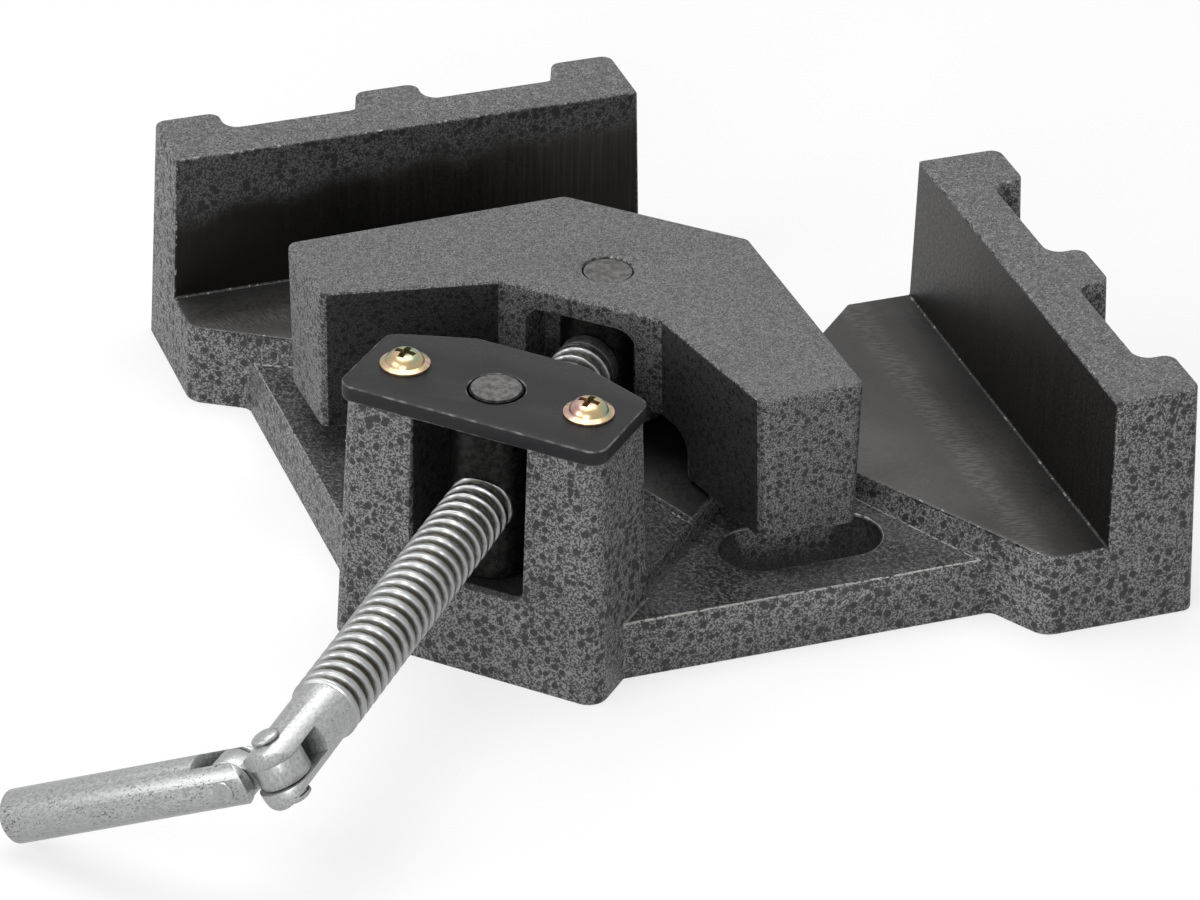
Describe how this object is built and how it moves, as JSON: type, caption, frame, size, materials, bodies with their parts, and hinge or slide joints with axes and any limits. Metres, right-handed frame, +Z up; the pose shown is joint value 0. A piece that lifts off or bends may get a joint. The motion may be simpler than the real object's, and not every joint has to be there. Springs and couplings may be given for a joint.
{
  "type": "corner clamp",
  "caption": "Right-angle corner clamp: cast base with fixed walls, a swinging screw in a trunnion nut drives a V-shaped pivoting jaw, turned by a knuckled handle.",
  "frame": {"origin": "underside of the base on its symmetry plane, below the jaw at rest", "axes": "+Y from the handle to the open corner, +Z up, +X to the right seen from the handle"},
  "size_m": [0.2894, 0.3095, 0.0732],
  "materials": {
    "casting_paint": "hammertone painted, machined faces bare",
    "jaw_paint": "hammertone painted",
    "cover_paint": "satin black painted",
    "yellow_zinc": "yellow zinc plated",
    "bare_steel": "turned",
    "zinc_plate": "zinc plated"
  },
  "bodies": {
    "base": {"base_casting": "casting_paint", "nut_cover_plate": "cover_paint", "cover_screw_left": "yellow_zinc", "cover_screw_right": "yellow_zinc"},
    "nut": {"trunnion_nut": "bare_steel"},
    "carriage": {"thrust_block": "bare_steel", "retaining_pin_left": "bare_steel", "retaining_pin_right": "bare_steel"},
    "screw": {"spindle": "zinc_plate", "fork_rivet": "zinc_plate"},
    "knuckle": {"knuckle_block": "zinc_plate"},
    "handle": {"handle_bar": "zinc_plate", "handle_rivet": "zinc_plate"},
    "jaw": {"moving_jaw": "jaw_paint", "block_circlip": "bare_steel"}
  },
  "joints": [
    {"name": "nut_swing", "type": "hinge", "parent": "base", "child": "nut", "pos_m": [0, -0.0805, 0.0428], "axis": [0, 0, 1], "range_deg": [-9.6, 0.4]},
    {"name": "jaw_travel", "type": "slide", "parent": "nut", "child": "carriage", "axis": [-0.0802, 0.9968, 0], "range_m": [-0.024, 0.06]},
    {"name": "spindle_turn", "type": "hinge", "parent": "carriage", "child": "screw", "pos_m": [-0.00585, -0.00773, 0.0428], "axis": [-0.0802, 0.9968, 0], "range_deg": [-2170, 5410]},
    {"name": "knuckle_bend", "type": "hinge", "parent": "screw", "child": "knuckle", "pos_m": [0.00997, -0.2044, 0.0428], "axis": [-0.4984, -0.0401, 0.866], "range_deg": [-6.5, 193.5]},
    {"name": "handle_bend", "type": "hinge", "parent": "knuckle", "child": "handle", "pos_m": [-0.0013, -0.20451, 0.03631], "axis": [-0.0273, 0.9992, 0.0305], "range_deg": [-93, 87]},
    {"name": "jaw_pivot", "type": "hinge", "parent": "carriage", "child": "jaw", "pos_m": [-0.00585, -0.00773, 0.0428], "axis": [0, 0, 1], "range_deg": [-2, 8]}
  ],
  "couplings": [
    {"joint": "spindle_turn", "follows": "jaw_travel", "rad_per_m": 1570.8}
  ]
}
